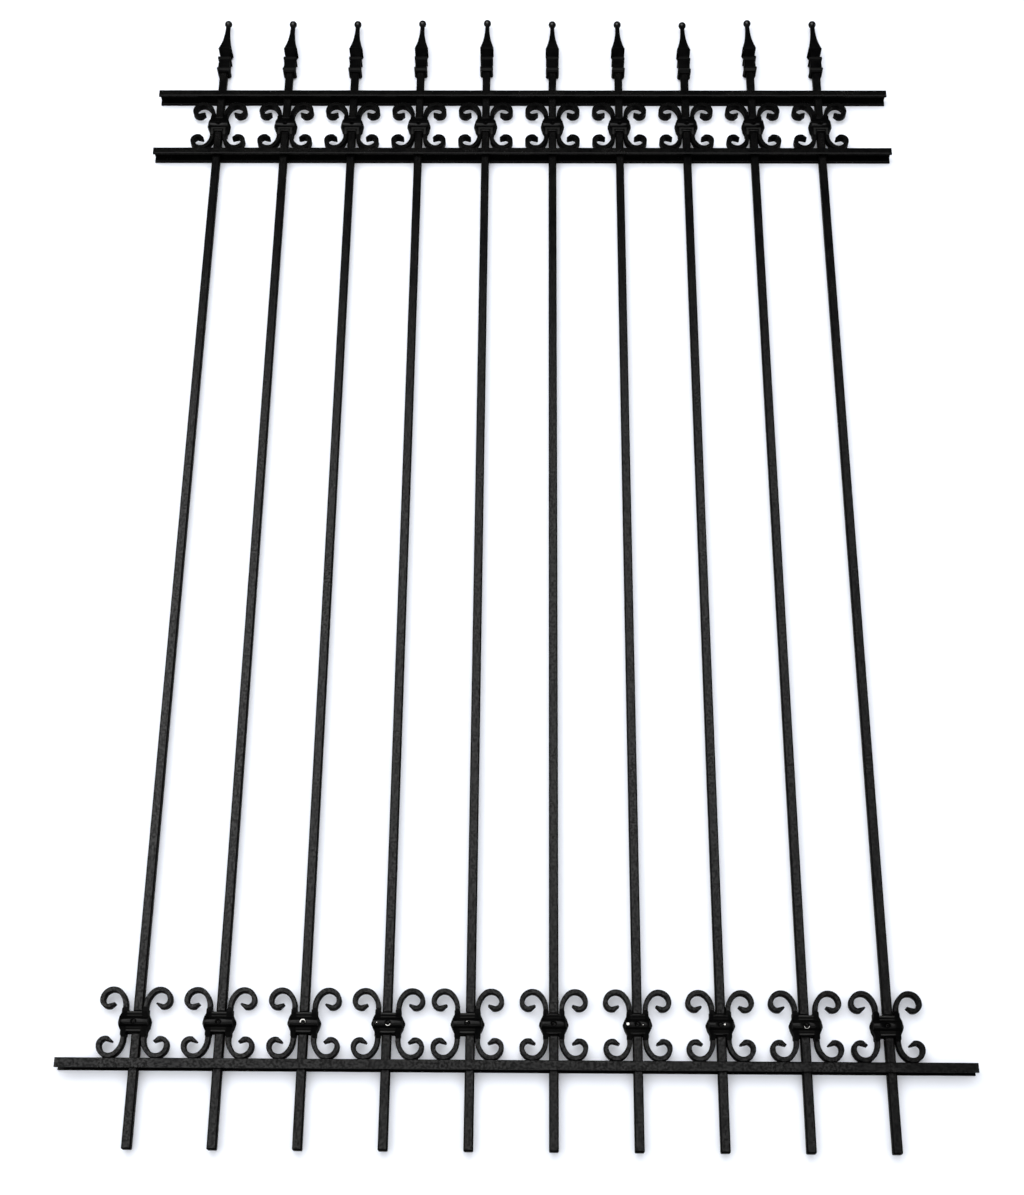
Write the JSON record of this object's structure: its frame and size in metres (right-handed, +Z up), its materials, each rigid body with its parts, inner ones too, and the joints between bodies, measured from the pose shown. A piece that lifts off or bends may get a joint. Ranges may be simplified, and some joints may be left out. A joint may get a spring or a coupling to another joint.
{
  "type": "ornamental fence section",
  "caption": "Flat ornamental metal fence section: square pickets through channel rails, with clamped butterfly scrolls and ball-tipped spear finials.",
  "frame": {"origin": "middle of the rails' length and depth, level with the cut feet of the pickets", "axes": "+X along the rails to the right seen from the front, +Y from the front to the back, +Z up along the pickets; the set screws face -Y"},
  "size_m": [1.216, 0.0254, 1.8766],
  "materials": {
    "powder_coat": "fine-textured satin black powder coat on steel bar and channel",
    "coated_casting": "semi-gloss black coat on cast iron, slightly rough",
    "screw_steel": "blackened steel with worn bright edges"
  },
  "bodies": {
    "root": {"picket_01": "powder_coat", "picket_02": "powder_coat", "picket_03": "powder_coat", "picket_04": "powder_coat", "picket_05": "powder_coat", "picket_06": "powder_coat", "picket_07": "powder_coat", "picket_08": "powder_coat", "picket_09": "powder_coat", "picket_10": "powder_coat", "bottom_rail": "powder_coat", "middle_rail": "powder_coat", "top_rail": "powder_coat", "finial_01": "coated_casting", "finial_02": "coated_casting", "finial_03": "coated_casting", "finial_04": "coated_casting", "finial_05": "coated_casting", "finial_06": "coated_casting", "finial_07": "coated_casting", "finial_08": "coated_casting", "finial_09": "coated_casting", "finial_10": "coated_casting", "lower_collar_01": "coated_casting", "lower_collar_02": "coated_casting", "lower_collar_03": "coated_casting", "lower_collar_04": "coated_casting", "lower_collar_05": "coated_casting", "lower_collar_06": "coated_casting", "lower_collar_07": "coated_casting", "lower_collar_08": "coated_casting", "lower_collar_09": "coated_casting", "lower_collar_10": "coated_casting", "upper_collar_01": "coated_casting", "upper_collar_02": "coated_casting", "upper_collar_03": "coated_casting", "upper_collar_04": "coated_casting", "upper_collar_05": "coated_casting", "upper_collar_06": "coated_casting", "upper_collar_07": "coated_casting", "upper_collar_08": "coated_casting", "upper_collar_09": "coated_casting", "upper_collar_10": "coated_casting", "lower_scrolls_left": "powder_coat", "lower_scrolls_right": "powder_coat", "upper_scrolls_left": "powder_coat", "upper_scrolls_right": "powder_coat", "lower_set_screws": "screw_steel", "upper_set_screws": "screw_steel"}
  },
  "joints": []
}
